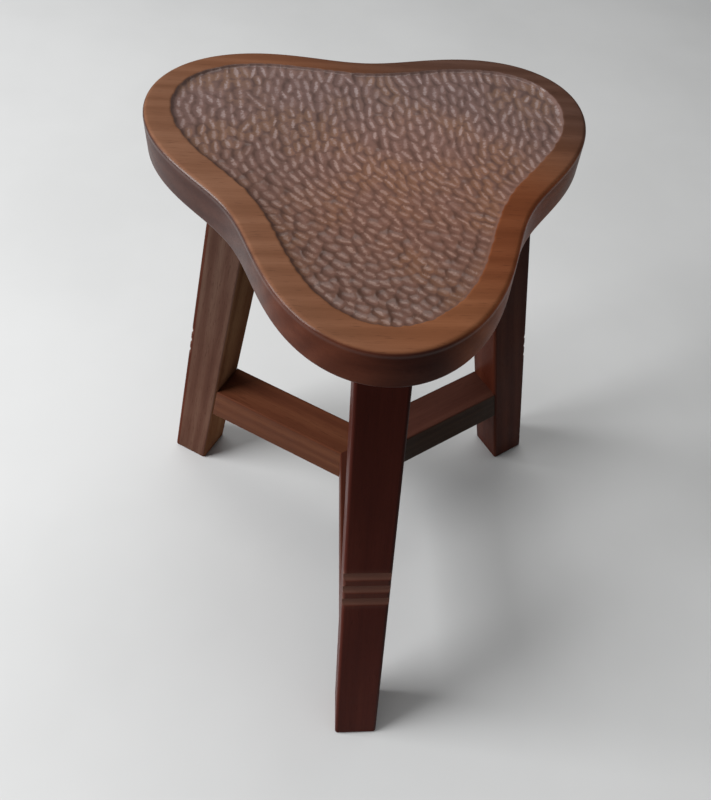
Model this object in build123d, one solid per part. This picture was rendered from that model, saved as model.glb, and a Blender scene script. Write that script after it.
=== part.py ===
from build123d import *
import os
from math import atan2, cos, hypot, pi, radians, sin, tan

# A three-legged stool in solid hardwood. One thick trefoil slab is the seat, with a lobe over each leg
# and a shallow sunk field for the carving. Three straight square legs splay outwards below the lobes.
# Three flat rails run in from the legs and meet in a Y on the stool's centre line, where loose tongues
# let in from below lock their mitres. Legs and rails end in tenons, in blind mortises.
# The finished stool stands on z = 0, with the origin at the centre of its box, below the seat.
# The front leg is on -Y. Millimetres throughout.

# ---- seat ----
seat_height = 450.0          # floor to the top of the rim
seat_thickness = 30.0
seat_mean_radius = 127.0     # mean radius of the trefoil
seat_lobe = 27.0             # a lobe stands out this far, and a waist comes in as far
seat_lobe_fullness = 1.0     # fills out the lobe tips and eases the shoulders between
seat_outline_points = 36     # points of the outline's closed curve
seat_turn = 2.5              # degrees anticlockwise from square on the legs, as the seat was fitted by hand
seat_shift = -4.7            # and how far right of centre it sits, so this one is left of it
seat_top_round = 3.0         # rounding of the upper edge
seat_bottom_round = 4.0      # rounding of the lower edge
rim_width = 17.5             # plain border left round the carved field, on average
field_right = 1.0            # the field isn't quite central: this far to the right
field_back = 2.0             # and this far to the back
field_depth = 2.0            # how far the carved field is sunk below the rim

# ---- legs ----
leg_azimuths = {"front": -90.0, "right": 30.0, "left": 150.0}
foot_radius = 200.0          # centre line of the stool to the outer face of a leg, at the floor
leg_splay = 11.7             # degrees off plumb
leg_width = 34.0             # across, the same way as the stool's rim runs
leg_depth = 34.0             # outer face to inner face, square to the leg
leg_edge_round = 2.5         # the four long edges, and round the foot
leg_tenon_size = 22.0        # square stub tenon on top of a leg
leg_tenon_length = 18.0

# ---- three decorative coves across the outer face of each leg ----
cove_count = 3
cove_middle_height = 192.5   # floor to the middle cove
cove_pitch = 14.0
cove_width = 9.0
cove_depth = 2.0

# ---- rails ----
rail_width = 33.0
rail_height = 40.0
rail_bottom = 91.0           # floor to the underside of the rails
rail_edge_round = 1.5
rail_tenon_width = 12.0
rail_tenon_height = 28.0
rail_tenon_length = 20.0

# ---- loose tongues across the three mitres of the Y ----
tongue_thickness = 4.0
tongue_width = 18.0          # half of it in each rail
tongue_height = 30.0         # from the underside of the rails upwards
tongue_radius = 12.0         # centre line of the stool to the middle of a tongue

# ---- fits ----
glue_gap = 0.15              # each side of a tenon in its mortise
end_gap = 1.0                # past the end of a tenon, for spare glue
tongue_gap = 0.1             # each side of a tongue in its slot

# ---- sizes worked out from the driving dimensions ----
shoulder_height = seat_height - seat_thickness
splay_tan = tan(radians(leg_splay))
splay_cos = cos(radians(leg_splay))
leg_depth_level = leg_depth / splay_cos     # depth of a leg on a level cut
mitre_angle = 60.0                          # half of the 120 degrees between two rails
rail_middle = rail_bottom + rail_height / 2
overrun = 60.0                              # how far blanks and cutters run past what they make


def outer_face_radius(height):
    """Distance of a leg's outer face from the centre line of the stool, at this height."""
    return foot_radius - height * splay_tan


def inner_face_radius(height):
    """Distance of a leg's inner face from the centre line of the stool, at this height."""
    return outer_face_radius(height) - leg_depth_level


def to_leg(shape, side):
    """Turn a shape made over +X to the side that this leg stands on."""
    return shape.rotate(Axis.Z, leg_azimuths[side])


def block(x_range, y_size, z_range, y_middle=0.0):
    """A box from its extents in x and z, centred on y_middle."""
    x_size = x_range[1] - x_range[0]
    z_size = z_range[1] - z_range[0]
    centre = (sum(x_range) / 2, y_middle, sum(z_range) / 2)
    return Pos(*centre) * Box(x_size, y_size, z_size)


# ---- seat outline ----
def outline_point(angle, inset):
    """Point of the seat's edge at an angle in radians from the front lobe's middle, moved in by inset.

    The radius is mean + lobe cos 3a + fullness cos 6a, and inset runs square to that curve.
    """
    radius = seat_mean_radius + seat_lobe * cos(3 * angle) + seat_lobe_fullness * cos(6 * angle)
    slope = -3 * seat_lobe * sin(3 * angle) - 6 * seat_lobe_fullness * sin(6 * angle)
    length = hypot(radius, slope)
    inward = inset * radius / length
    sideways = inset * slope / length
    out = radius - inward
    point_radius = hypot(out, sideways)
    point_angle = angle + atan2(sideways, out) + radians(leg_azimuths["front"] + seat_turn)
    return (seat_shift + point_radius * cos(point_angle), point_radius * sin(point_angle))


def trefoil(inset):
    """The flat trefoil face, inset from the seat's edge."""
    step = 2 * pi / seat_outline_points
    points = [outline_point(step * i, inset) for i in range(seat_outline_points)]
    return make_face(Spline(*points, periodic=True))


def seat():
    """The trefoil slab: rounded edges, a sunk field on top and three blind mortises below."""
    slab = extrude(Plane.XY.offset(shoulder_height) * trefoil(0), amount=seat_thickness)
    slab = fillet(slab.edges().group_by(Axis.Z)[-1], seat_top_round)
    slab = fillet(slab.edges().group_by(Axis.Z)[0], seat_bottom_round)
    field_floor = seat_height - field_depth
    field_border = Pos(field_right, field_back, field_floor) * trefoil(rim_width)
    slab -= extrude(field_border, amount=field_depth + overrun)
    size = leg_tenon_size + 2 * glue_gap
    middle = leg_tenon_middle()
    depth = leg_tenon_length + end_gap
    mortise = block(
        (middle - size / 2, middle + size / 2),
        size,
        (shoulder_height - overrun, shoulder_height + depth),
    )
    for side in leg_azimuths:
        slab -= to_leg(mortise, side)
    return slab


# ---- legs ----
def leg_tenon_middle():
    """The leg tenon stands in the middle of the leg's shoulder."""
    return (outer_face_radius(shoulder_height) + inner_face_radius(shoulder_height)) / 2


def leg():
    """A splayed square post over +X: level foot and shoulder, plumb tenon, mortise for the rail, coves."""
    lean = radians(leg_splay)
    section = Plane(
        origin=(foot_radius, 0, 0),
        x_dir=(cos(lean), 0, sin(lean)),
        z_dir=(-sin(lean), 0, cos(lean)),
    )
    length = shoulder_height / splay_cos + 2 * overrun
    blank = Pos(-leg_depth / 2, 0, shoulder_height / splay_cos / 2) * Box(leg_depth, leg_width, length)
    reach = foot_radius + overrun
    post = (section * blank) & block((0, reach), 2 * leg_width, (0, shoulder_height))
    long_edges = post.edges().filter_by(GeomType.LINE).sort_by(Edge.length)[-4:]
    foot_edges = post.edges().group_by(Axis.Z)[0]
    post = fillet(long_edges + foot_edges, leg_edge_round)

    cove_radius = (cove_width**2 / 4 + cove_depth**2) / (2 * cove_depth)
    out_of_face = cove_radius - cove_depth
    for i in range(cove_count):
        height = cove_middle_height + (i - (cove_count - 1) / 2) * cove_pitch
        x = outer_face_radius(height) + out_of_face * splay_cos
        z = height + out_of_face * sin(lean)
        post -= Pos(x, 0, z) * Rot(90, 0, 0) * Cylinder(cove_radius, 2 * leg_width)

    middle = leg_tenon_middle()
    post += block(
        (middle - leg_tenon_size / 2, middle + leg_tenon_size / 2),
        leg_tenon_size,
        (shoulder_height, shoulder_height + leg_tenon_length),
    )
    post -= block(
        (inner_face_radius(rail_middle) - overrun, rail_tenon_end() + end_gap),
        rail_tenon_width + 2 * glue_gap,
        (
            rail_middle - rail_tenon_height / 2 - glue_gap,
            rail_middle + rail_tenon_height / 2 + glue_gap,
        ),
    )
    return post


# ---- rails ----
def rail_tenon_end():
    """Distance of a rail tenon's end from the centre line of the stool."""
    return inner_face_radius(rail_middle) + rail_tenon_length


def tongue_blank(gap, drop):
    """A tongue on +X, as a tongue (gap 0) or as the cutter for its slot, which runs out by drop."""
    half = tongue_thickness / 2 + gap
    return block(
        (tongue_radius - half, tongue_radius + half),
        tongue_width + 2 * gap,
        (rail_bottom - drop, rail_bottom + tongue_height),
    )


def rail():
    """A flat rail over +X: a 120 degree point at the hub, slots for two tongues, shoulder and tenon."""
    reach = inner_face_radius(rail_bottom) + overrun
    rail_top = rail_bottom + rail_height
    bar = block((-overrun, reach), rail_width, (rail_bottom, rail_top))
    bar = fillet(bar.edges().filter_by(Axis.X), rail_edge_round)

    mitre_run_out = rail_width / tan(radians(mitre_angle))
    plan = Polyline(
        (0, 0),
        (mitre_run_out, rail_width),
        (reach, rail_width),
        (reach, -rail_width),
        (mitre_run_out, -rail_width),
        close=True,
    )
    below = rail_bottom - overrun
    above = rail_top + overrun
    side = Polyline(
        (-overrun, below),
        (inner_face_radius(below), below),
        (inner_face_radius(above), above),
        (-overrun, above),
        close=True,
    )
    bar &= extrude(Plane.XY.offset(below) * make_face(plan), amount=above - below)
    bar &= extrude(Plane.XZ * make_face(side), amount=rail_width, both=True)

    bar += block(
        (inner_face_radius(rail_middle) / 2, rail_tenon_end()),
        rail_tenon_width,
        (rail_middle - rail_tenon_height / 2, rail_middle + rail_tenon_height / 2),
    )
    slot = tongue_blank(tongue_gap, overrun)
    for turn in (mitre_angle, -mitre_angle):
        bar -= slot.rotate(Axis.Z, turn)
    return bar


# ---- the whole stool ----
os.makedirs("parts", exist_ok=True)
one_leg = leg()
one_rail = rail()
one_tongue = tongue_blank(0, 0).rotate(Axis.Z, mitre_angle)
parts = {"seat": seat()}
for side, mitre_name in (("front", "front_right"), ("right", "back"), ("left", "front_left")):
    parts[f"leg_{side}"] = to_leg(one_leg, side)
    parts[f"rail_{side}"] = to_leg(one_rail, side)
    parts[f"hub_tongue_{mitre_name}"] = to_leg(one_tongue, side)

# The feet reach further forward than back, so the stool's centre line stands behind the origin.
box = Compound(list(parts.values())).bounding_box()
to_origin = Pos(-(box.min.X + box.max.X) / 2, -(box.min.Y + box.max.Y) / 2, 0)
for name, shape in parts.items():
    placed = to_origin * shape
    export_step(placed, f"parts/{name}.step")
    size = placed.bounding_box().size
    print(f"{name}: {size.X:.1f} x {size.Y:.1f} x {size.Z:.1f}, volume {placed.volume / 1000:.1f} cm3")
print("whole stool:", round(box.size.X, 2), round(box.size.Y, 2), round(box.size.Z, 2))
print("centre line of the stool at y =", round(to_origin.position.Y, 3))
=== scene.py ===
# %% [markdown]
# # A three-legged stool with a carved seat
#
# The stool is solid hardwood under a brown varnish: a thick slab with three lobes for a seat,
# three straight square legs, and a Y of flat rails between them. The middle of the seat is sunk
# a little and cut all over with a gouge, so it is several hundred small hollows side by side.
#
# The legs, the rails and the loose tongues in the Y are plain shapes with small rounded edges,
# and the design model already has them right. They stay as they are and get a wood of their own.
# The design model's seat is only a flat slab, so the seat is made here, as one closed surface.

# %% Load the frame
import math

import bpy
import numpy as np
from mathutils import Matrix, Vector


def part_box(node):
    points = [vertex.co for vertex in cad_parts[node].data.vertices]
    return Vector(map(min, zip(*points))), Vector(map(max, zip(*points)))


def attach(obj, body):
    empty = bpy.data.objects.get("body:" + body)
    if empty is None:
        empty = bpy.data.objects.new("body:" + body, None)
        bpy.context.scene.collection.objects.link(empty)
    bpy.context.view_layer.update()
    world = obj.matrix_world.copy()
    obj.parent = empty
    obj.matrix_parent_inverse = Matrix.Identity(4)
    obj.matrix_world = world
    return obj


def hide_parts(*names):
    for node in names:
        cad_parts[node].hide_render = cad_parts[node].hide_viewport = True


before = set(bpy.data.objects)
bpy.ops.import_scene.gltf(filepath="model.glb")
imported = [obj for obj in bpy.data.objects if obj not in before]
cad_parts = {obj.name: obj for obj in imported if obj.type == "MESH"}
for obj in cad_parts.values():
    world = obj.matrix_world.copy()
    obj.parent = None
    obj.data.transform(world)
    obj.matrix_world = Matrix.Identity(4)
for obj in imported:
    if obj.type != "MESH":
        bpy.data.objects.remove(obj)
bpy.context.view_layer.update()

# %% [markdown]
# ## Where things are
#
# Every size that the design model knows is read from it, so nothing has to be fitted by hand.
# A leg's width is read off the front leg, which stands square to the frame. The seat's edge is a
# trefoil: its radius swells towards the three lobes and shrinks at the three waists. That curve
# has a formula with only three numbers, and they are the same ones that the slab was drawn with.

# %% Sizes and places, in metres
seat_low, seat_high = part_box("seat")
leg_low, leg_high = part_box("leg_front")
rail_low, rail_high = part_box("rail_front")

SEAT_TOP = seat_high.z
SEAT_THICKNESS = seat_high.z - seat_low.z
LEG_WIDTH = leg_high.x - leg_low.x
LEG_SPLAY = math.radians(11.7)
AZIMUTHS = {"front": math.radians(-90), "right": math.radians(30), "left": math.radians(150)}

MEAN_RADIUS = 0.127
LOBE = 0.027
LOBE_FULLNESS = 0.001
RIM_WIDTH = 0.0175
FIELD_MIDDLE = (0.001, 0.002)  # from the middle of the seat
TOP_ROUND = 0.003
BOTTOM_ROUND = 0.004
SEAT_TURN = math.radians(2.5)
SEAT_SHIFT = -0.0047

# The rails meet on the stool's centre line, over x = 0, at the back of the front rail's point.
AXIS = Vector((0.0, rail_high.y, 0.0))
print("centre line of the stool at y =", round(AXIS.y, 4))
print("seat", round(SEAT_THICKNESS, 4), "thick, legs", round(LEG_WIDTH, 4), "wide")

# %% [markdown]
# ## The camera
#
# The camera stands above and in front of the stool and looks down on the seat. Its direction is
# given as three turns: round to the side, down from level, and a slight roll. A lens shift moves
# the picture without turning the camera, as a view camera does, so upright lines keep their lean.

# %% Camera
CAMERA_PLACE = Vector((-0.0373, -0.3728, 0.7730))
YAW = math.radians(9.80)
PITCH = math.radians(-47.51)
ROLL = math.radians(8.47)
LENS = 38.58
SHIFT = (-0.0789, -0.1157)


def look(yaw, pitch, roll):
    """A camera's turn.

    Yaw goes from +Y towards +X, pitch above level, and roll tips the camera over.
    """
    level = math.cos(pitch)
    forward = Vector((math.sin(yaw) * level, math.cos(yaw) * level, math.sin(pitch)))
    level_right = Vector((math.cos(yaw), -math.sin(yaw), 0.0))
    level_up = level_right.cross(forward)
    right = math.cos(roll) * level_right + math.sin(roll) * level_up
    up = right.cross(forward)
    return Matrix((right, up, -forward)).transposed().to_quaternion()


camera = bpy.data.objects.new("camera", bpy.data.cameras.new("camera"))
bpy.context.scene.collection.objects.link(camera)
camera.rotation_mode = "QUATERNION"
camera.location = CAMERA_PLACE
camera.rotation_quaternion = look(YAW, PITCH, ROLL)
camera.data.lens = LENS
camera.data.shift_x, camera.data.shift_y = SHIFT
camera.data.clip_start = 0.01
bpy.context.scene.camera = camera
print("camera", tuple(round(c, 3) for c in camera.location), "lens", LENS)

# %% [markdown]
# ## Shader maths that reads like maths
#
# A material in Blender is a web of nodes, and even `1 - mask` takes a node and a wire. The small
# class below wraps the socket that a node hands on. Adding or multiplying two wrapped sockets
# puts in the Math node, so a formula can be written in one line. Everything that isn't plain
# arithmetic goes through one method of `Finish`, which makes a node of any type.


# %% Wrapped sockets
class Wire:
    """A number that changes over a surface. Sums with it add Math nodes to its material."""

    def __init__(self, finish, socket):
        self.finish = finish
        self.socket = socket

    def _maths(self, operation, *values):
        return self.finish.node("ShaderNodeMath", {"operation": operation}, *values)

    def __add__(self, other):
        return self._maths("ADD", self, other)

    def __sub__(self, other):
        return self._maths("SUBTRACT", self, other)

    def __mul__(self, other):
        return self._maths("MULTIPLY", self, other)

    def __truediv__(self, other):
        return self._maths("DIVIDE", self, other)

    def __pow__(self, other):
        return self._maths("POWER", self, other)

    def __rsub__(self, other):
        return self._maths("SUBTRACT", other, self)

    __radd__ = __add__
    __rmul__ = __mul__

    def output(self, index):
        """Another output of the node that this socket belongs to."""
        return Wire(self.finish, self.socket.node.outputs[index])

    def size(self):
        """The number without its sign."""
        return self._maths("ABSOLUTE", self)

    def ramp(self, start, end):
        """0 below start, 1 above end, and a smooth slope between. Start may be above end."""
        return self.finish.node(
            "ShaderNodeMapRange",
            {"interpolation_type": "SMOOTHSTEP"},
            Value=self,
            From_Min=start,
            From_Max=end,
        )


print("wrapped sockets ready")

# %% [markdown]
# A `Finish` is a material that is being written down. Besides the method for any node, it has
# short names for what every wood here needs: coordinates that are turned and squeezed with the
# grain, cloudy noise, a mix of two colours, a tint inside a mask, and a faint relief.


# %% The finish and its nodes
GRAIN_RELIEF = 0.00008  # in metres, for a height of 1
GRAIN_STRENGTH = 0.6


class Finish:
    """A material that is being written down, node by node."""

    def __init__(self, name):
        self.material = bpy.data.materials.new(name)
        self.material.use_nodes = True
        self.tree = self.material.node_tree
        self.tree.nodes.clear()

    def node(self, kind, settings=None, *values, out=0, **named):
        """Makes a node, sets its settings, fills its sockets in order or by name.

        It hands on one output, which out picks. In a socket's name an underscore stands for a space.
        """
        made = self.tree.nodes.new(kind)
        for key, value in (settings or {}).items():
            if key == "stops":
                self._stops(made.color_ramp, value)
            else:
                setattr(made, key, value)
        sockets = list(enumerate(values))
        sockets += [(key.replace("_", " "), value) for key, value in named.items()]
        for key, value in sockets:
            self._plug(made.inputs[key], value)
        return Wire(self, made.outputs[out])

    def _plug(self, socket, value):
        if isinstance(value, Wire):
            self.tree.links.new(value.socket, socket)
        else:
            socket.default_value = value

    @staticmethod
    def _stops(ramp, stops):
        """Colour stops, each a place from 0 to 1 and a colour."""
        while len(ramp.elements) < len(stops):
            ramp.elements.new(1.0)
        for element, (place, colour) in zip(ramp.elements, stops):
            element.position = place
            element.color = (*colour, 1.0)

    def mix(self, factor, first, second, blend="MIX"):
        """Mixes two colours: all first at factor 0, all second at factor 1."""
        made = self.tree.nodes.new("ShaderNodeMix")
        made.data_type = "RGBA"
        made.blend_type = blend
        for index, value in ((0, factor), (6, first), (7, second)):
            if isinstance(value, tuple) and len(value) == 3:
                value = (*value, 1.0)
            self._plug(made.inputs[index], value)
        return Wire(self, made.outputs[2])

    def tint(self, mask, colour, tint):
        """Multiplies a colour by a tint where the mask is 1, and leaves it alone where it is 0."""
        return self.mix(mask, colour, self.mix(1.0, colour, tint, "MULTIPLY"))

    def place(self, centre=(0.0, 0.0, 0.0), turn=(0.0, 0.0, 0.0), scale=(1.0, 1.0, 1.0)):
        """Object coordinates seen from a frame with this centre and turn, then stretched by scale."""
        flat = self.node("ShaderNodeTexCoord", None, out=3)
        settings = {"vector_type": "TEXTURE"}
        local = self.node("ShaderNodeMapping", settings, Vector=flat, Location=centre, Rotation=turn)
        return self.node("ShaderNodeMapping", None, Vector=local, Scale=scale)

    def axes(self, vector):
        """The x, y and z of a vector, each as a number."""
        x = self.node("ShaderNodeSeparateXYZ", None, vector)
        return x, x.output(1), x.output(2)

    def noise(self, vector, scale, detail=3.0, roughness=0.55):
        """Cloudy noise from 0 to 1."""
        sockets = {"Vector": vector, "Scale": scale, "Detail": detail, "Roughness": roughness}
        return self.node("ShaderNodeTexNoise", None, **sockets)

    def bump(self, height):
        """Faint relief, from a height without a unit."""
        sockets = {"Height": height, "Distance": GRAIN_RELIEF, "Strength": GRAIN_STRENGTH}
        return self.node("ShaderNodeBump", None, **sockets)

    def shade(self, **sockets):
        """Ends the material in a Principled shader with these sockets."""
        shader = self.node("ShaderNodeBsdfPrincipled", None, **sockets)
        output = self.tree.nodes.new("ShaderNodeOutputMaterial")
        self.tree.links.new(shader.socket, output.inputs["Surface"])
        return self.material


print("shader helpers ready")

# %% [markdown]
# ## The varnished wood
#
# Wood is a bundle of long fibres laid down in yearly rings. Sawn along the tree, the rings show
# as long bands that wander, the fibres as fine streaks, and the cut vessels as short dark dashes,
# all along the same direction. So each piece gets a frame of its own whose third direction is
# its grain, and every pattern is squeezed hard along that direction.
#
# The brown stain is darker in the late wood of each ring, and it pools in broad clouds. The
# varnish over it is thin and rubbed down, so it mirrors next to nothing and the grain can still
# be felt. It could be a coat in the shader, but a faint shine and a faint relief do the same.

# %% Wood
RIM_SHADES = ((0.130, 0.047, 0.020), (0.173, 0.065, 0.029), (0.220, 0.088, 0.041))
STAINED_SHADES = ((0.032, 0.008, 0.005), (0.048, 0.013, 0.008), (0.068, 0.021, 0.013))
SHADE_STOPS = (0.30, 0.50, 0.70)
VESSEL_COLOUR = (0.020, 0.006, 0.004)
# For each pattern: how far the grain's direction is squeezed, so that the pattern is that much
# longer along the grain, and then the noise's scale, detail and roughness.
PATTERNS = {
    "slow": (0.10, 9.0, 3.0, 0.55),
    "fibres": (0.035, 900.0, 3.0, 0.7),
    "streaks": (0.02, 190.0, 4.0, 0.55),
    "vessels": (0.06, 1500.0, 1.0, 0.55),
    "clouds": (1.0, 14.0, 3.0, 0.55),
}
RING_SQUEEZE = 0.10
RINGS = {"Scale": 26.0, "Distortion": 6.0, "Detail": 2.0, "Detail_Scale": 1.0}


def wood(finish, centre, turn, heart, shades):
    """Colour, height and gloss of wood whose grain runs along its frame's third direction.

    Rings are circles round a heart that lies beside the piece, bent by slow noise. Streaks and
    vessels are noise squeezed along the grain. Shades are the dark, the middle and the light.
    """
    slow, fibres, streaks, vessels, clouds = (
        finish.noise(finish.place(centre, turn, (1.0, 1.0, squeeze)), *settings)
        for squeeze, *settings in PATTERNS.values()
    )
    across = finish.place(centre, turn, (1.0, 1.0, RING_SQUEEZE))
    moved = finish.node("ShaderNodeMapping", None, Vector=across, Location=heart)
    settings = {"wave_type": "RINGS", "rings_direction": "Z", "wave_profile": "SIN"}
    rings = finish.node("ShaderNodeTexWave", settings, out=1, Vector=moved, **RINGS)
    vessel = vessels.ramp(0.62, 0.74)

    mixed = rings * 0.16 + streaks * 0.34 + slow * 0.30 + clouds * 0.20
    colour = finish.node("ShaderNodeValToRGB", {"stops": list(zip(SHADE_STOPS, shades))}, mixed)
    colour = finish.mix(fibres.ramp(0.40, 0.66) * 0.25, colour, shades[0])
    colour = finish.mix(vessel * 0.35, colour, VESSEL_COLOUR)
    height = fibres * 0.4 - vessel * 0.6 + streaks * 0.8
    gloss = 0.32 + clouds.ramp(0.3, 0.7) * 0.10 + vessel * 0.15
    return colour, height, gloss


def varnish(finish, colour, height, gloss, shine):
    """Ends a material of varnished wood. Shine is how strongly it mirrors what is round it."""
    relief = finish.bump(height)
    return finish.shade(Base_Color=colour, Roughness=gloss, Normal=relief, Specular_IOR_Level=shine)


print("wood ready:", len(PATTERNS), "patterns and the rings")

# %% [markdown]
# ## The legs and rails
#
# A leg's grain runs up the leg, which leans inwards, so its frame leans the same way. A rail's
# grain runs from the hub to its leg. No two pieces are sawn from the same board, so each has its
# own heart beside it and its own tone. The left leg's tone also holds a painted sheen.

# %% Tones of the legs and the rails
# The left leg's tint is mostly painted sheen: the cool light of the lamp on its left, painted in.
LEG_TINTS_AND_SHEEN = {"front": (0.92, 0.66, 0.66), "right": (1.00, 0.92, 0.80), "left": (1.52, 2.90, 3.45)}
RAIL_TINTS = {"front": (1.3, 1.3, 1.2), "right": (1.5, 2.0, 2.2), "left": (2.1, 2.45, 1.9)}
TONGUE_TINT = (1.6, 1.7, 1.7)
LEG_HEARTS = {"front": (0.07, 0.02, 0.0), "right": (-0.05, 0.05, 0.3), "left": (0.04, -0.06, 0.6)}
RAIL_HEARTS = {"front": (0.03, 0.06, 0.0), "right": (-0.06, 0.03, 0.2), "left": (0.05, 0.04, 0.5)}
TONGUE_HEART = (0.01, 0.01, 0.0)
LEG_SHINE = {"front": 0.02, "right": 0.02, "left": 0.0}
RAIL_SHINE = 0.03


def tinted(shades, tint):
    """The same shades, each multiplied by a tint."""
    return tuple(tuple(c * t for c, t in zip(shade, tint)) for shade in shades)


def put_on(node, material):
    """Gives a design node its finish."""
    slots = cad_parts[node].data.materials
    slots.clear()
    slots.append(material)


print("tones for", len(LEG_TINTS_AND_SHEEN), "legs and", len(RAIL_TINTS), "rails")

# %% [markdown]
# Three coves are cut across a leg's outer face. The light that they catch from above is painted
# into them as pale bands, and more faintly on the face round them: a painted highlight. A leg gets
# paler towards the foot. The left leg carries a painted sheen of the lamp on its left, strongest on
# the face towards the centre line and weaker on its outer and rear faces.
#
# Each of these is a mask made of three measures: the height above the floor, how far a point
# lies behind the leg's outer face, and how far aside of the leg's middle. A painted mask would
# do as well, but it would need an image.

# %% The legs' finish
COVE_HEIGHTS = (0.1785, 0.1925, 0.2065)
# The coves' pale colour and the faint band round them are a painted highlight: the light that the coves
# catch from above.
COVE_HIGHLIGHT_COLOUR = (0.112, 0.050, 0.036)
COVE_REACH = (0.0052, 0.0030)  # from a cove's middle, where its pale band starts and is full
COVE_BOTTOM = (0.0002, 0.0007)  # the same, behind the outer face
FACE_DEPTH = (0.0030, 0.0024)  # past the first, no highlight is painted
COVE_SHEEN_REACH = (0.024, 0.016)  # from the middle cove
COVE_SHEEN_SHARE = 0.22
PALER_FROM, PALER_TO = 0.40, 0.03  # heights on the leg
UPPER_LEG = (0.85, 0.85, 0.85)
LOWER_LEG = (1.25, 1.15, 1.10)
FOOT_REACH = 0.200  # from the centre line to a leg's outer face, on the floor
NO_TINT = (1.0, 1.0, 1.0)
INNER_FACE_SHEEN_TINTS = {"left": (2.05, 1.90, 1.35)}  # painted sheen on the face towards the centre line
REAR_FACE_SHEEN_TINTS = {"left": (0.78, 0.48, 0.42)}  # weaker painted sheen on the outer face and the one turned to the back
OUTER_FACE = (0.0040, 0.0030)  # its tone ends between these depths
FACE_FADE = (0.0015, 0.0005)  # the other faces' tones start between these distances


def place_in_leg(finish, lean):
    """How far a point lies behind a leg's outer face, and how far aside of its middle."""
    along, aside, _ = finish.axes(finish.place(tuple(AXIS), lean))
    return FOOT_REACH * math.cos(LEG_SPLAY) - along, aside


def cove_highlight_mask(height, below_face):
    """Where the painted highlight goes: 1 in the three coves across a leg's outer face, 0 elsewhere, and
    a little round them.
    """
    bands = sum((height - middle).size().ramp(*COVE_REACH) for middle in COVE_HEIGHTS)
    cove_sheen = (height - COVE_HEIGHTS[1]).size().ramp(*COVE_SHEEN_REACH) * COVE_SHEEN_SHARE
    inside = bands * below_face.ramp(*COVE_BOTTOM) * (1 - cove_sheen)
    return (cove_sheen + inside) * below_face.ramp(*FACE_DEPTH)


def leg_finish(side, lean):
    """Stained wood, paler towards the foot, with a painted highlight in the coves and, on the left leg,
    a painted sheen.
    """
    finish = Finish(f"leg wood {side}")
    shades = tinted(STAINED_SHADES, LEG_TINTS_AND_SHEEN[side])
    colour, height, gloss = wood(finish, tuple(AXIS), lean, LEG_HEARTS[side], shades)
    _, _, height_on_leg = finish.axes(finish.place())
    # Paler towards the foot: a tone set by the height on the leg alone.
    worn = finish.mix(height_on_leg.ramp(PALER_FROM, PALER_TO), UPPER_LEG, LOWER_LEG)
    colour = finish.mix(1.0, colour, worn, "MULTIPLY")

    below_face, aside = place_in_leg(finish, lean)
    # The left leg's face tints are painted sheen: strongest on the inner face, weaker on the outer and
    # rear faces.
    inner = below_face.ramp(*(LEG_WIDTH - fade for fade in FACE_FADE))
    colour = finish.tint(inner, colour, INNER_FACE_SHEEN_TINTS.get(side, NO_TINT))
    back = (0 - aside).ramp(*(LEG_WIDTH / 2 - fade for fade in FACE_FADE))
    rear = 1 - (1 - below_face.ramp(*OUTER_FACE)) * (1 - back)
    colour = finish.tint(rear, colour, REAR_FACE_SHEEN_TINTS.get(side, NO_TINT))
    # Painted highlight in the coves.
    colour = finish.mix(cove_highlight_mask(height_on_leg, below_face), colour, COVE_HIGHLIGHT_COLOUR)
    return varnish(finish, colour, height, gloss, LEG_SHINE[side])


for side, azimuth in AZIMUTHS.items():
    put_on(f"leg_{side}", leg_finish(side, (0.0, -LEG_SPLAY, azimuth)))
print("materials with the legs':", len(bpy.data.materials))

# %% [markdown]
# Below the top edge the right rail's sides, and faintly the left rail's, are painted darker: painted
# shade, since the sides turn away from the light that falls on the tops. The three tongues are
# slips of the same wood, and hardly show.

# %% The rails' and the tongues' finish
RAIL_TOP = max(corner[2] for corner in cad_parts["rail_right"].bound_box)
RAIL_EDGE = (RAIL_TOP - 0.0005, RAIL_TOP - 0.0015)  # the sides' painted shade starts between these heights
# Painted shade on the rails' sides below the top edge.
RAIL_SIDE_SHADE_TINTS = {"front": NO_TINT, "right": (0.42, 0.50, 0.32), "left": (0.87, 0.90, 0.86)}


def rail_finish(side, turn):
    """Stained wood, with painted shade on the sides below the top face."""
    finish = Finish(f"rail wood {side}")
    shades = tinted(STAINED_SHADES, RAIL_TINTS[side])
    colour, height, gloss = wood(finish, tuple(AXIS), turn, RAIL_HEARTS[side], shades)
    _, _, level = finish.axes(finish.place())
    colour = finish.tint(level.ramp(*RAIL_EDGE), colour, RAIL_SIDE_SHADE_TINTS[side])
    return varnish(finish, colour, height, gloss, RAIL_SHINE)


def tongue_finish():
    """Stained wood with upright grain."""
    finish = Finish("tongue wood")
    shades = tinted(STAINED_SHADES, TONGUE_TINT)
    surface = wood(finish, tuple(AXIS), (0.0, 0.0, 0.0), TONGUE_HEART, shades)
    return varnish(finish, *surface, RAIL_SHINE)


for side, azimuth in AZIMUTHS.items():
    put_on(f"rail_{side}", rail_finish(side, (0.0, math.radians(90), azimuth)))
tongue_wood = tongue_finish()
for name in ("back", "front_left", "front_right"):
    put_on(f"hub_tongue_{name}", tongue_wood)
print("materials with the rails' and the tongues':", len(bpy.data.materials))

# %% [markdown]
# ## The seat's edge
#
# The trefoil could be drawn with arcs, but a formula is shorter and smoother. In the seat's own
# frame the front lobe points to -Y. Moving the edge inwards by a distance, square to the curve,
# gives the border of the carved field and every ring of the rim between.


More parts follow.
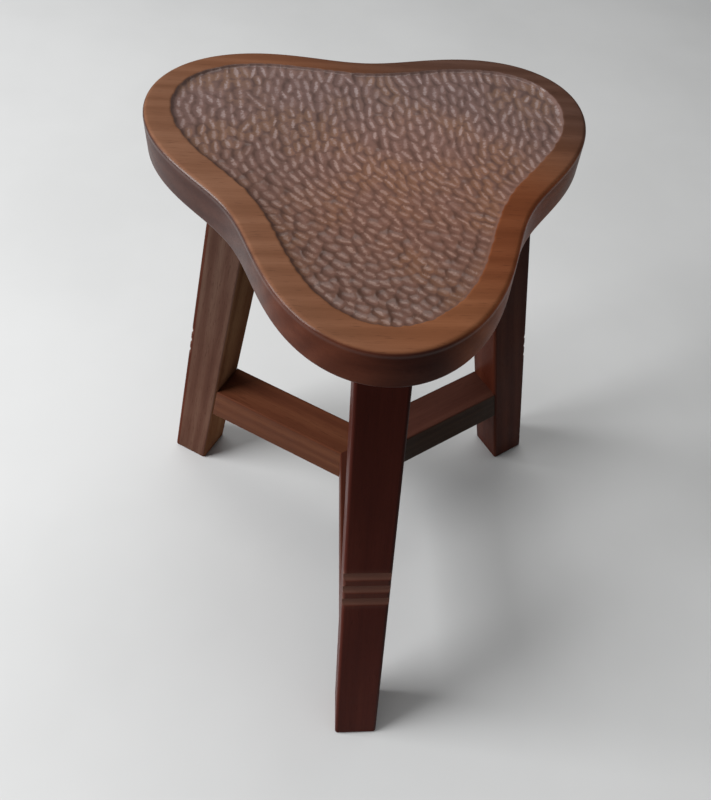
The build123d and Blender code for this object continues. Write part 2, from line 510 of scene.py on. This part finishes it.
# %% The trefoil
def edge(angle, inset):
    """Points of the seat's edge, moved in by inset, as an array of x and y.

    From the front lobe at -Y the angle is a, and the radius is mean + lobe cos 3a + fullness
    cos 6a. The inward direction is square to the curve.
    """
    a = angle + math.pi / 2
    radius = MEAN_RADIUS + LOBE * np.cos(3 * a) + LOBE_FULLNESS * np.cos(6 * a)
    slope = -3 * LOBE * np.sin(3 * a) - 6 * LOBE_FULLNESS * np.sin(6 * a)
    length = np.hypot(radius, slope)
    out = radius - inset * radius / length
    aside = inset * slope / length
    x = out * np.cos(angle) - aside * np.sin(angle)
    y = out * np.sin(angle) + aside * np.cos(angle)
    return x, y


lobe_tip = edge(np.array([-math.pi / 2]), 0.0)
print("front lobe reaches", round(float(-lobe_tip[1][0]), 4), "m from the seat's middle")

# %% [markdown]
# ## The gouge cuts
#
# The carver works down the seat in rows, pushing a round gouge towards the front. Each cut is a
# small spoon-shaped hollow, deepest in its middle. Where two hollows meet they leave a ridge.
# A first row runs round the border, and its cuts bite a little into the rim, which scallops it.
# Towards the front lobe the rows close up and swing to the right, and the cuts get shorter.
#
# A texture of hollows could be stamped on the field, but then every hollow would be alike and
# the border would slice through them. So the list of cuts is worked out first: where each one is,
# how long and how wide. A seeded random generator makes each cut a little different from the
# next, the same way on each run.

# %% How the rows run
ROW_PITCH = 0.0060  # between rows, across the gouge, in the middle of the seat
ROWS_CLOSE_UP = 0.8  # per metre towards the front
CUT_LENGTH = 0.0110
CUT_LENGTH_GAIN = 0.030  # per metre towards the back
SWING_START = 0.020  # y where the rows start to swing
SWING_LENGTH = 0.100
SWING = 1.25  # how far sideways the rows go for each step forward, at the front
LEAN = 0.04


def smooth(t):
    """0 below 0, 1 above 1, and 3t^2 - 2t^3 between."""
    t = np.clip(t, 0.0, 1.0)
    return t * t * (3 - 2 * t)


def sideways(y):
    """How far to the right the rows go for each step towards the front, at this y."""
    return LEAN + SWING * smooth((SWING_START - y) / SWING_LENGTH)


def cut_length(y):
    """Length of a cut at this y: shorter towards the front."""
    return CUT_LENGTH + CUT_LENGTH_GAIN * y


def row_pitch(y):
    """Distance between rows at this y: closer together towards the front."""
    return ROW_PITCH * (1 + ROWS_CLOSE_UP * y)


ahead = np.linspace(-0.18, 0.14, 641)  # y, from past the seat's front to past its back
drift = -np.cumsum(sideways(ahead)) * (ahead[1] - ahead[0])
drift -= np.interp(0.0, ahead, drift)


def row_x(row, y):
    """x of a row at this y: the rows close up towards the front and drift to the right."""
    return row * row_pitch(y) + np.interp(y, ahead, drift)


def row_heading(x, y):
    """How far right a cut at x, y goes for each step towards the front."""
    row = (x - np.interp(y, ahead, drift)) / row_pitch(y)
    return sideways(y) - row * ROW_PITCH * ROWS_CLOSE_UP

print("at y = -0.12 the middle row has drifted", round(float(row_x(0, -0.12)) * 1000), "mm to the right")

# %% [markdown]
# The rows cover more than the seat, and what lies outside is left out later. Odd rows start half
# a cut on, as bricks do, so that a hollow's end falls between its neighbours' middles.

# %% Places along the rows
BACK_OF_ROWS, FRONT_OF_ROWS = 0.125, -0.16
ROWS_EACH_SIDE = 24
START_VARIES = 0.2  # share of a cut's length that a whole row may be moved by
PLACE_VARIES_X = 0.0009  # in metres, as standard deviations
PLACE_VARIES_Y = 0.0018
chance = np.random.default_rng(7)

steps = [BACK_OF_ROWS]
while steps[-1] > FRONT_OF_ROWS:
    steps.append(steps[-1] - cut_length(steps[-1]) / math.sqrt(1 + sideways(steps[-1]) ** 2))
rows = np.arange(-ROWS_EACH_SIDE, ROWS_EACH_SIDE + 1)
row_grid, step_grid = np.meshgrid(rows, np.arange(len(steps) - 1))
start = (rows % 2) * 0.5 + chance.uniform(-START_VARIES, START_VARIES, len(rows))
cut_y = np.interp(step_grid + start % 1.0, np.arange(len(steps)), steps)
cut_y = (cut_y + chance.normal(0, PLACE_VARIES_Y, cut_y.shape)).ravel()
cut_x = row_x(row_grid.ravel(), cut_y) + chance.normal(0, PLACE_VARIES_X, cut_y.shape)
print("places for cuts before trimming:", len(cut_x))

# %% [markdown]
# The border row follows the border instead. Cuts that point straight at the border stand a
# cut's width apart, and cuts that run along it stand a cut's length apart. A cut that points at
# the border stands back from it by half its length, and one that runs along it by a little less
# than half its width.

# %% The border row
BORDER_VARIES = 0.10  # of the distance between two cuts
BORDER_LENGTH_SHARE = 0.5
BORDER_WIDTH_SHARE = 0.40
BORDER_BITE = 0.0004  # into the rim


def way_of_cut(x, y):
    """The direction of a cut at x, y, as a pair of numbers with length 1."""
    heading = row_heading(x, y)
    return np.stack((heading, -np.ones_like(heading))) / np.sqrt(1 + heading**2)


border = np.stack(edge(np.linspace(0, 2 * math.pi, 2001), RIM_WIDTH))
stretch = np.diff(border)
halfway = (border[:, 1:] + border[:, :-1]) / 2
cut_way = way_of_cut(*halfway)
runs_along = (stretch * cut_way).sum(axis=0)
runs_across = stretch[0] * cut_way[1] - stretch[1] * cut_way[0]
places = np.hypot(runs_across / row_pitch(halfway[1]), runs_along / cut_length(halfway[1]))
counted = np.r_[0.0, np.cumsum(places)]
border_cuts = round(counted[-1])
wanted = np.arange(border_cuts) + chance.uniform(-BORDER_VARIES, BORDER_VARIES, border_cuts)
wanted = wanted * counted[-1] / border_cuts
near = np.stack([np.interp(wanted, counted, line) for line in border])
side = np.stack([np.interp(wanted, counted[1:], line) for line in stretch])
inward = np.stack((-side[1], side[0])) / np.hypot(*side)
pointing = np.abs((inward * way_of_cut(*near)).sum(axis=0))
back = np.hypot(
    BORDER_LENGTH_SHARE * cut_length(near[1]) * pointing,
    BORDER_WIDTH_SHARE * row_pitch(near[1]) * (1 - pointing),
)
border_x, border_y = near + inward * (back - BORDER_BITE)
print("cuts in the border row:", border_cuts)

# %% [markdown]
# The border row comes first, then the rows, then tries at random that fill what gaps are left.
# A cut that would fall outside the border, or on top of one that is already there, is left out.
# Then the cuts shift apart a little, as a carver spaces them by eye, while the border row stays.
# Rows alone would leave gaps and crowds where they swing, and chance alone would look like rain.

# %% Filling the field and spacing the cuts
CROWDED = 0.72  # a cut nearer than this to another is left out
TRIES = 6000
TRY_X = (-0.13, 0.13)
TRY_Y = (-0.14, 0.12)
ROUNDS = 8  # of shifting the cuts apart
ROOM = 1.05  # cuts nearer than this push each other
SHIFT = 0.16  # share of a cut's size that it shifts by in one round, at most
BORDER_ANGLES = np.unwrap(np.arctan2(border[1], border[0]))
BORDER_RADII = np.hypot(*border)


def spacing(x, y, others_x, others_y):
    """Distances to the others, where 1 is just side by side or end to end.

    It is the square root of (along / cut length)^2 + (across / row pitch)^2.
    """
    heading = row_heading(x, y)[:, None]
    dx = x[:, None] - others_x
    dy = y[:, None] - others_y
    length = np.sqrt(1 + heading**2)
    along = (dx * heading - dy) / length / cut_length(y)[:, None]
    across = (dx + dy * heading) / length / row_pitch(y)[:, None]
    return np.hypot(along, across)


def is_inside(x, y):
    """Whether points lie inside the border of the field."""
    around = np.arctan2(y, x) % (2 * math.pi)
    return np.hypot(x, y) < np.interp(around, BORDER_ANGLES, BORDER_RADII)


try_x = chance.uniform(*TRY_X, TRIES)
try_y = chance.uniform(*TRY_Y, TRIES)
offered = np.stack((np.r_[cut_x, try_x], np.r_[cut_y, try_y]))
offered = offered[:, is_inside(*offered)]
kept_x, kept_y = border_x, border_y
for x, y in offered.T:
    if spacing(np.array([x]), np.array([y]), kept_x, kept_y).min() > CROWDED:
        kept_x = np.r_[kept_x, x]
        kept_y = np.r_[kept_y, y]

free = np.arange(len(kept_x)) >= border_cuts
for _ in range(ROUNDS):
    apart = spacing(kept_x, kept_y, kept_x, kept_y)
    push = np.clip(ROOM - apart, 0, None) * (apart > 0) / np.where(apart > 0, apart, 1)
    dx = (push * (kept_x[:, None] - kept_x)).sum(axis=1) * SHIFT * free
    dy = (push * (kept_y[:, None] - kept_y)).sum(axis=1) * SHIFT * free
    kept_x, kept_y = kept_x + dx, kept_y + dy
cut_x, cut_y = kept_x, kept_y
print("cuts:", len(cut_x), "of them in the border row:", border_cuts)

# %% [markdown]
# ## The carved surface
#
# A cut is a trough: its height rises with the square of the distance across it, and with the
# third power along it, so it stays deep for most of its length. The wood that is left is the
# lowest of all the cuts at each point. Where two cuts meet, the sharp ridge is rounded off a
# little, as rubbing and varnish do. Years of sitting have worn the seat near the middle, so the
# cuts are shallower there.
#
# Light catches each hollow along one side, and that glint is painted into the wood as a short pale
# streak: a painted highlight. The streak's strength is worked out here too, with the cuts at hand,
# and the finish reads it later.

# %% Sizes of the cuts
CUT_DEPTH = 0.0021
RIDGE = 0.00042  # a ridge stands this far above the bottoms beside it
WIDTH_SHARE = 0.52  # a cut's half width, against the distance between rows
LENGTH_SHARE = 0.56  # a cut's half length, against its length
WIDTH_VARIES = (0.80, 1.15)
LENGTH_VARIES = (0.75, 1.15)
DEPTH_VARIES = (0.86, 1.10)
TURN_VARIES = 0.20  # radians, as a standard deviation
WORN_PLACE = (0.018, -0.030)
WORN_RADIUS = 0.042
WORN_DEPTH = 0.22  # share of the depth that is worn away in the middle of that place
WORN_RIDGE = 0.30  # share of a ridge's height

count = len(cut_x)
cut_turn = np.arctan(row_heading(cut_x, cut_y)) + chance.normal(0, TURN_VARIES, count)
half_width = WIDTH_SHARE * row_pitch(cut_y) * chance.uniform(*WIDTH_VARIES, count)
half_length = LENGTH_SHARE * cut_length(cut_y) * chance.uniform(*LENGTH_VARIES, count)
from_worn = (cut_x - WORN_PLACE[0]) ** 2 + (cut_y - WORN_PLACE[1]) ** 2
worn = np.exp(-from_worn / (2 * WORN_RADIUS**2))
cut_deep = CUT_DEPTH * (1 - WORN_DEPTH * worn) * chance.uniform(*DEPTH_VARIES, count)
ridge = RIDGE * (1 - WORN_RIDGE * worn)
cut_tone = chance.uniform(0.0, 1.0, count)
print("gouge cuts:", count, "up to", round(float(cut_deep.max()) * 1000, 2), "mm deep")

# %% [markdown]
# The loop below goes once over the cuts, not over the points: each cut is compared with every
# point of the seat at once, and where it is lower than what is there, it takes over.

# %% The lowest of all the cuts
GROUND = 0.0007  # the whole field was first sunk this far
GROUND_REACH = 0.004  # from the border, where the ground gets its full depth
SOFT = 0.00025  # height over which two troughs are blended
CLIMB_REACH = 0.0014  # past the border a cut's bottom climbs with the square of the distance
CLIMB_RISE = 0.001  # how far it has climbed at CLIMB_REACH
STREAK_ASIDE = 0.22  # the three streak sizes are shares of a cut's half width and half length
STREAK_WIDE = 0.46
STREAK_LONG = 0.95
UNCUT_RISE = 1.5
UNCUT_TONE = 0.5


def carve(x, y, within):
    """Height of the carved wood against the plain rim, and the rise, streak and tone there.

    The rise is (across / half width)^2 + (along / half length)^3, which is 0 in the middle of a
    cut and 1 at a ridge. A cut's height is ridge times rise, less its depth, and the wood is the
    lowest of them. The streak is 1 - ((across / half width - aside) / wide)^2 - (along / half
    length / long)^2, so it lies beside the middle. Within is the distance inside the border,
    below 0 on the rim, where a steep square law ends every cut.
    """
    height = -GROUND * smooth(within / GROUND_REACH)
    tone = np.full_like(x, UNCUT_TONE)
    rise = np.full_like(x, UNCUT_RISE)
    streak = np.zeros_like(x)
    climb = (np.clip(-within, 0, None) / CLIMB_REACH) ** 2 * CLIMB_RISE
    for cx, cy, turn, wide, long, deep, up, own in zip(
        cut_x, cut_y, cut_turn, half_width, half_length, cut_deep, ridge, cut_tone
    ):
        dx = x - cx
        dy = y - cy
        along = np.abs(dx * math.sin(turn) - dy * math.cos(turn))
        across = dx * math.cos(turn) + dy * math.sin(turn)
        own_rise = (across / wide) ** 2 + (along / long) ** 3
        trough = up * own_rise - deep + climb
        overlap = np.clip(1 - np.abs(height - trough) / SOFT, 0, None)
        lower = trough < height
        off_streak = ((across / wide - STREAK_ASIDE) / STREAK_WIDE) ** 2
        own_streak = 1 - off_streak - (along / long / STREAK_LONG) ** 2
        streak = np.where(lower, own_streak, streak)
        tone = np.where(lower, own, tone)
        rise = np.where(lower, own_rise, rise)
        height = np.minimum(height, trough) - overlap**2 * SOFT / 4
    return height, rise, streak, tone


middle_height = carve(np.zeros(1), np.zeros(1), np.ones(1))[0]
print("the middle of the field lies", round(float(-middle_height[0]) * 1000, 2), "mm below the rim")

# %% [markdown]
# ## The seat as one surface
#
# A round field laid out in rings and spokes would crowd its points together in the middle. A
# square grid bent into a disc keeps them even: squares become rings, so the square's edge becomes
# the border. The rim, the side and the underside are then rings that start from that border.

# %% The grid of the field
GRID = 251  # points along each side of the square


def disc_grid(count):
    """A square grid bent into a unit disc: radius and angle of each point.

    With a and b from -1 to 1, the radius is the larger of |a| and |b|, and the angle grows evenly
    along each side of the square.
    """
    line = np.linspace(-1.0, 1.0, count)
    a, b = np.meshgrid(line, line, indexing="ij")
    wide = np.abs(a) >= np.abs(b)
    big = np.where(wide, a, b)
    small = np.where(wide, b, a)
    ratio = small / np.where(big == 0, 1.0, big)
    quarter = math.pi / 4
    angle = np.where(wide, quarter * ratio, 2 * quarter - quarter * ratio)
    angle = angle + np.where(big < 0, math.pi, 0.0)
    return np.abs(big), angle


def border_indices(count):
    """Indices of the grid's edge points, anticlockwise from the corner a = 1, b = -1."""
    index = np.arange(count * count).reshape(count, count)
    sides = (index[-1, :-1], index[:0:-1, -1], index[0, :0:-1], index[:-1, 0])
    return np.concatenate(sides)

radius, angle = disc_grid(GRID)
field_x, field_y = edge(angle, RIM_WIDTH)
field_x = (field_x * radius).ravel() + FIELD_MIDDLE[0]
field_y = (field_y * radius).ravel() + FIELD_MIDDLE[1]
field_within = ((1 - radius) * np.hypot(*edge(angle, RIM_WIDTH))).ravel()
print("field:", field_x.size, "points")

# %% [markdown]
# The first rings outside the border are close together, because the border row's cuts end there.
# A quarter circle rounds the top edge and another the bottom edge. The field sits a little off
# the middle of the seat, so the rings on top share out that shift between border and edge.

# %% The rings of the rim, the side and the underside
ROUND_STEPS = 8
FINE_STEP = 0.0007
FINE_END = 0.0043  # the close rings reach this far from the border
TOP_INSETS = [0.011, 0.007]
BOTTOM_INSETS = [0.012, 0.045]


def rim_profile():
    """Rings from the border outwards and down: inset from the edge, drop below the rim's top."""
    quarter = np.linspace(0, math.pi / 2, ROUND_STEPS)
    inset = [RIM_WIDTH - s for s in np.arange(FINE_STEP, FINE_END, FINE_STEP)] + TOP_INSETS
    drop = [0.0] * len(inset)
    inset += list(TOP_ROUND * (1 - np.sin(quarter)))
    drop += list(TOP_ROUND * (1 - np.cos(quarter)))
    inset += [0.0]
    drop += [SEAT_THICKNESS / 2]
    inset += list(BOTTOM_ROUND * (1 - np.cos(quarter)))
    drop += list(SEAT_THICKNESS - BOTTOM_ROUND * (1 - np.sin(quarter)))
    inset += BOTTOM_INSETS
    drop += [SEAT_THICKNESS] * len(BOTTOM_INSETS)
    return np.array(inset), np.array(drop)


inset, drop = rim_profile()
step = 2 * math.pi / (4 * (GRID - 1))
ring_angle = -math.pi / 4 + step * np.arange(4 * (GRID - 1))
ring_x, ring_y = edge(ring_angle[None, :], inset[:, None])
moved_share = np.clip((inset - TOP_ROUND) / (RIM_WIDTH - TOP_ROUND), 0, 1) * (drop == 0)
ring_x = ring_x + moved_share[:, None] * FIELD_MIDDLE[0]
ring_y = ring_y + moved_share[:, None] * FIELD_MIDDLE[1]
ring_drop = np.broadcast_to(drop[:, None], ring_x.shape)
ring_within = np.broadcast_to(inset[:, None] - RIM_WIDTH, ring_x.shape)
print("rings:", ring_x.shape[0], "of", ring_x.shape[1], "points")

# %% [markdown]
# Now every point is known from above, and the carving gives its height. One last point closes
# the underside. The seat is turned a little and sits a little to the left, as a handmade one does.

# %% The points of the seat
FAR_OUT = -0.1  # the closing point lies nowhere near the field

all_x = np.concatenate((field_x, ring_x.ravel(), [0.0]))
all_y = np.concatenate((field_y, ring_y.ravel(), [0.0]))
top = np.concatenate((np.ones(field_x.size, bool), (ring_drop == 0).ravel(), [False]))
all_within = np.concatenate((field_within, ring_within.ravel(), [FAR_OUT]))
carved = carve(all_x - FIELD_MIDDLE[0], all_y - FIELD_MIDDLE[1], all_within)
all_cut, all_rise, all_streak, all_tone = carved
all_cut = np.where(top, np.minimum(all_cut, 0.0), 0.0)
all_z = SEAT_TOP + all_cut
all_z -= np.concatenate((np.zeros_like(field_x), ring_drop.ravel(), [SEAT_THICKNESS]))

turned_x = all_x * math.cos(SEAT_TURN) - all_y * math.sin(SEAT_TURN)
turned_y = all_x * math.sin(SEAT_TURN) + all_y * math.cos(SEAT_TURN)
points = np.stack((AXIS.x + SEAT_SHIFT + turned_x, AXIS.y + turned_y, all_z), axis=-1)
print("deepest point below the rim:", round(float(-all_cut.min()) * 1000, 2), "mm")

# %% [markdown]
# The faces run from ring to ring, always the same way round, so they all point outwards. The
# four values of each point's cut go into the mesh as attributes, for the finish to read.


# %% The seat's mesh
def ring_faces(first, second):
    """Quads between two rings of point indices, facing away from the seat's middle."""
    return np.stack((first, second, np.roll(second, -1), np.roll(first, -1)), axis=-1)


index = np.arange(GRID * GRID).reshape(GRID, GRID)
corners = (index[:-1, :-1], index[1:, :-1], index[1:, 1:], index[:-1, 1:])
quads = [np.stack(corners, axis=-1).reshape(-1, 4)]
rings = GRID * GRID + np.arange(ring_x.size).reshape(ring_x.shape)
chain = [border_indices(GRID), *rings]
quads += [ring_faces(a, b) for a, b in zip(chain[:-1], chain[1:])]
quads = np.concatenate(quads)
pole = len(points) - 1
last = chain[-1]
fan = np.stack((last, np.full_like(last, pole), np.roll(last, -1)), axis=-1)

mesh = bpy.data.meshes.new("seat_carved")
mesh.from_pydata(points, [], quads.tolist() + fan.tolist())
mesh.shade_smooth()
cut_values = {"depth": -all_cut / CUT_DEPTH, "rise": all_rise, "streak": all_streak, "tone": all_tone}
for name, values in cut_values.items():
    attribute = mesh.attributes.new(f"cut_{name}", "FLOAT", "POINT")
    attribute.data.foreach_set("value", values.astype(np.float32))
mesh.validate()
seat = bpy.data.objects.new("seat_carved", mesh)
bpy.context.scene.collection.objects.link(seat)
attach(seat, "root")
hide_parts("seat")
print("seat:", len(mesh.vertices), "points,", len(quads) * 2 + len(fan), "triangles")

# %% [markdown]
# ## The seat's finish
#
# The slab's grain runs from left to right. The rim was stained less than the legs, so it is a
# lighter orange brown. It is painted darker towards the far right, a painted shade; a stretch of
# redder heartwood crosses it at the right waist; and on the left the cool sheen of the left lamp is
# painted in, a painted reflection. The side is stained dark at the front and paler and warmer on the
# right.
#
# In the carved field the ridges are painted darker than the ground, a painted shade on walls that
# turn from the light, and each hollow has a pale streak beside its middle, a painted highlight where
# it turns to the light. The middle, where one sits, is warmer; the rear is painted lighter and greyer,
# a painted sheen. Each zone could be painted by hand. Here each is a mask from the place on the seat,
# and tints the wood below it. A thin coat over the hollows, and along the top edge, gives the glint.

# %% Colours of the seat
# Painted shade: the ridges' darker colour stands for the walls between hollows that turn from the light.
RIDGE_SHADE_COLOUR = (0.105, 0.062, 0.049)
GROUND_COLOUR = (0.136, 0.081, 0.066)
WORN_COLOUR = (0.155, 0.087, 0.058)
# Painted highlight: the pale streak in each hollow.
PAINTED_GLINT_COLOUR = (0.238, 0.174, 0.152)
NEAR_FIELD = (1.00, 0.91, 0.82)
# Painted sheen: the rear of the field is painted lighter and greyer, as its glints are.
REAR_FIELD_SHEEN = (1.17, 1.26, 1.32)
UNWORN_FIELD = (0.90, 0.86, 0.88)
SAT_ON_FIELD = (1.12, 1.00, 0.98)
# Painted shade: the rim is painted darker towards the far right, where it shows less sheen.
FAR_RIM_SHADE = (0.42, 0.55, 0.85)
HEART_RIM = (0.71, 0.57, 0.51)
# Painted reflection: the left lamp's cool grey sheen, painted into the rim and the side on the left.
LEFT_SHEEN_RIM = (0.90, 1.10, 1.40)
LEFT_SHEEN_SIDE = (0.78, 0.93, 1.00)
PALER_SIDE_TINT = (1.50, 1.00, 0.60)

# Spots: x and y of the middle, and the square of the radius.
HEART_SPOT = (0.074, -0.065, 0.0055)
SAT_ON_SPOT = (0.025, -0.025, 0.0090)
PALER_SIDE_SPOT = (-0.045, -0.130, 0.0040)
# Slopes: how much each metre to the right and to the back adds, and where they start.
FAR_SHADE_SLOPE = (5.0, 8.0, -0.05)
LEFT_SHEEN_SLOPE = (-9.0, -3.0, -0.1)


def spot(x, y, middle_x, middle_y, square):
    """1 in the middle of a spot, 0 outside it: 1 - distance^2 / radius^2, smoothed."""
    return (1 - ((x - middle_x) ** 2 + (y - middle_y) ** 2) / square).ramp(0.0, 1.0)


def slope(x, y, to_right, to_back, start):
    """From 0 to 1 across the seat: to_right x + to_back y + start, smoothed."""
    return (x * to_right + y * to_back + start).ramp(0.0, 1.0)


print("seat colours and places ready")

# %% [markdown]
# The rim, the field and the side are three woods in one material. The depth of the cut tells the
# field from the rim, and the height below the rim tells the side. Noise makes the edges of the
# ridges and streaks uneven, since a clean edge would look printed.

# %% Rim, field and side
SEAT_HEART = (0.05, 0.02, 0.0)
FIELD_STARTS = (0.03, 0.20)  # share of a cut's depth
SIDE_STARTS = (-0.0003, -0.0016)  # below the rim's top
REAR_SHEEN_STARTS = (-0.080, 0.080)
LEFT_SHEEN_ENDS = (-0.125, -0.095)  # the painted sheen on the side stops before the front
PALER_SIDE_STARTS = (0.020, 0.060)  # to the right
PALER_SPOT_SHARE = 0.10


def rim_colour(finish, x, y, rim):
    """The rim's wood with painted shade on its far side, its heartwood and a painted sheen on its left.
    """
    # Painted shade towards the far right.
    rim = finish.tint(slope(x, y, *FAR_SHADE_SLOPE), rim, FAR_RIM_SHADE)
    rim = finish.tint(spot(x, y, *HEART_SPOT), rim, HEART_RIM)
    # Painted reflection of the left lamp on the left of the rim.
    return finish.tint(slope(x, y, *LEFT_SHEEN_SLOPE), rim, LEFT_SHEEN_RIM)


def field_colour(finish, local, x, y, spots, rise, streak, tone):
    """Painted shade on the ridges, the ground, painted highlight streaks, warmer where sat on, a painted
    sheen at the rear.
    """
    # The ridge mask places the painted shade.
    ridge = (rise + (spots - 0.5) * 2.0).ramp(0.25, 1.25)
    fine = finish.noise(local, 600.0, 2.0)
    # The painted highlight: pale streaks where each hollow turns to the light.
    shine = (streak + (spots - 0.5) * 1.5 + (fine - 0.5) * 2.5).ramp(-0.10, 1.00)
    broad = finish.noise(local, 22.0, 2.0)
    ground = finish.mix(broad.ramp(0.42, 0.62), GROUND_COLOUR, WORN_COLOUR)
    carved = finish.mix(ridge, ground, RIDGE_SHADE_COLOUR)
    carved = finish.mix(shine * (0.35 + tone * 0.65), carved, PAINTED_GLINT_COLOUR)
    warmth = finish.mix(spot(x, y, *SAT_ON_SPOT), UNWORN_FIELD, SAT_ON_FIELD)
    carved = finish.mix(1.0, carved, warmth, "MULTIPLY")
    # Painted sheen, lighter and greyer towards the rear.
    rear_sheen = finish.mix(y.ramp(*REAR_SHEEN_STARTS), NEAR_FIELD, REAR_FIELD_SHEEN)
    return finish.mix(1.0, carved, rear_sheen, "MULTIPLY")


def side_colour(finish, x, y, side, rim, left_sheen):
    """The side's stained wood, with a painted sheen on the left, and paler and warmer on the right."""
    side = finish.tint(left_sheen, side, LEFT_SHEEN_SIDE)
    # Paler and warmer towards the right, and in a small spot at the front left.
    paler_side = x.ramp(*PALER_SIDE_STARTS) + spot(x, y, *PALER_SIDE_SPOT) * PALER_SPOT_SHARE
    return finish.mix(paler_side, side, finish.mix(1.0, rim, PALER_SIDE_TINT, "MULTIPLY"))


print("colours of rim, field and side ready")

# %% [markdown]
# Last come the relief and the gloss. The rim has next to no shine. A rough coat lies over the
# field, a thinner one over the left side, and some of it gathers along the rounded top edge,
# where it shows as a narrow bright line.

# %% Seat material
FIELD_COAT = 0.35
LEFT_SIDE_COAT = 0.2
EDGE_COAT = 0.3
EDGE_COAT_ENDS = (-0.0030, -0.0050)  # below the rim's top
COAT_ROUGHNESS = 0.20
SEAT_SHINE = 0.02
SPOT_RELIEF = 1.5
FIELD_ROUGHER = 0.04


def seat_finish():
    """Varnished rim and gouge-cut field in one material, told apart by the depth of the cut."""
    finish = Finish("seat wood")
    place = (AXIS.x, AXIS.y, SEAT_TOP)
    along_x = (0.0, math.radians(90), 0.0)
    rim, height, gloss = wood(finish, place, along_x, SEAT_HEART, RIM_SHADES)
    side, _, _ = wood(finish, place, along_x, SEAT_HEART, STAINED_SHADES)
    local = finish.place(place)
    x, y, z = finish.axes(local)
    depth, rise, streak, tone = (
        finish.node("ShaderNodeAttribute", {"attribute_name": f"cut_{name}"}, out=2)
        for name in cut_values
    )
    spots = finish.noise(local, 260.0, 3.0)

    field = depth.ramp(*FIELD_STARTS)
    outside = z.ramp(*SIDE_STARTS) * (1 - field)
    # Where the painted sheen lies on the left side.
    left_sheen = slope(x, y, *LEFT_SHEEN_SLOPE) * y.ramp(*LEFT_SHEEN_ENDS)
    rim = rim_colour(finish, x, y, rim)
    carved = field_colour(finish, local, x, y, spots, rise, streak, tone)
    side = side_colour(finish, x, y, side, rim, left_sheen)
    colour = finish.mix(outside, finish.mix(field, rim, carved), side)
    edge_coat = (1 - z.ramp(*EDGE_COAT_ENDS)) * EDGE_COAT
    return finish.shade(
        Base_Color=colour,
        Roughness=gloss + field * FIELD_ROUGHER,
        Normal=finish.bump(height + spots * field * SPOT_RELIEF),
        Specular_IOR_Level=SEAT_SHINE,
        Coat_Weight=field * FIELD_COAT + outside * (left_sheen * LEFT_SIDE_COAT + edge_coat),
        Coat_Roughness=COAT_ROUGHNESS,
    )


seat.data.materials.append(seat_finish())
print("seat finish:", len(seat.data.materials[0].node_tree.nodes), "nodes")

# %% [markdown]
# ## Floor and light
#
# The stool stands on a plain pale floor, wide enough to fill the picture from any side. It is
# almost white, with broad faint clouds, so that it is neither a mirror nor a flat colour.


# %% Floor
def plane(name, size, height):
    """A flat square of this size, level at this height."""
    half = size / 2
    corners = [(x * half, y * half, height) for x, y in ((-1, -1), (1, -1), (1, 1), (-1, 1))]
    flat = bpy.data.meshes.new(name)
    flat.from_pydata(corners, [], [(0, 1, 2, 3)])
    made = bpy.data.objects.new(name, flat)
    bpy.context.scene.collection.objects.link(made)
    return made


FLOOR_SIZE = 12.0
FLOOR_SHADES = ((0.56, 0.56, 0.55), (0.60, 0.60, 0.59))
floor = plane("floor", FLOOR_SIZE, 0.0)
floor_finish = Finish("floor")
dust = floor_finish.noise(floor_finish.place(), 3.0, 4.0)
pale = floor_finish.mix(dust.ramp(0.3, 0.7), *FLOOR_SHADES)
floor.data.materials.append(floor_finish.shade(Base_Color=pale, Roughness=0.8))
print("floor:", FLOOR_SIZE, "m wide")

# %% [markdown]
# Two large soft lamps light it: one on the left, higher than the seat, which gives the hollows
# their glint and leaves the front leg dark, and a weaker one overhead. The air of the studio
# adds a little light from all round, so that no shadow is black.

# %% Lamps and air
MIDDLE_OF_STOOL = (0.0, 0.0, 0.30)
AIR_COLOUR = (0.90, 0.93, 0.97, 1.0)
AIR_STRENGTH = 0.12


def lamp(name, place, target, size, power, colour=(1.0, 1.0, 1.0)):
    """A square soft lamp at a place, turned towards a target."""
    light = bpy.data.lights.new(name, "AREA")
    light.size = size
    light.energy = power
    light.color = colour
    made = bpy.data.objects.new(name, light)
    made.location = place
    made.rotation_euler = (Vector(target) - Vector(place)).to_track_quat("-Z", "Y").to_euler()
    bpy.context.scene.collection.objects.link(made)
    return made


lamp("lamp left", (-2.3, -0.25, 1.40), MIDDLE_OF_STOOL, 1.6, 112.0, (0.97, 0.98, 1.0))
lamp("lamp overhead", (0.0, 0.4, 2.40), MIDDLE_OF_STOOL, 1.5, 24.0)

world = bpy.data.worlds.new("studio air")
bpy.context.scene.world = world
world.use_nodes = True
background = world.node_tree.nodes["Background"]
background.inputs["Color"].default_value = AIR_COLOUR
background.inputs["Strength"].default_value = AIR_STRENGTH
bpy.context.scene.view_settings.view_transform = "Standard"
print("studio ready:", len(bpy.data.lights), "lamps")
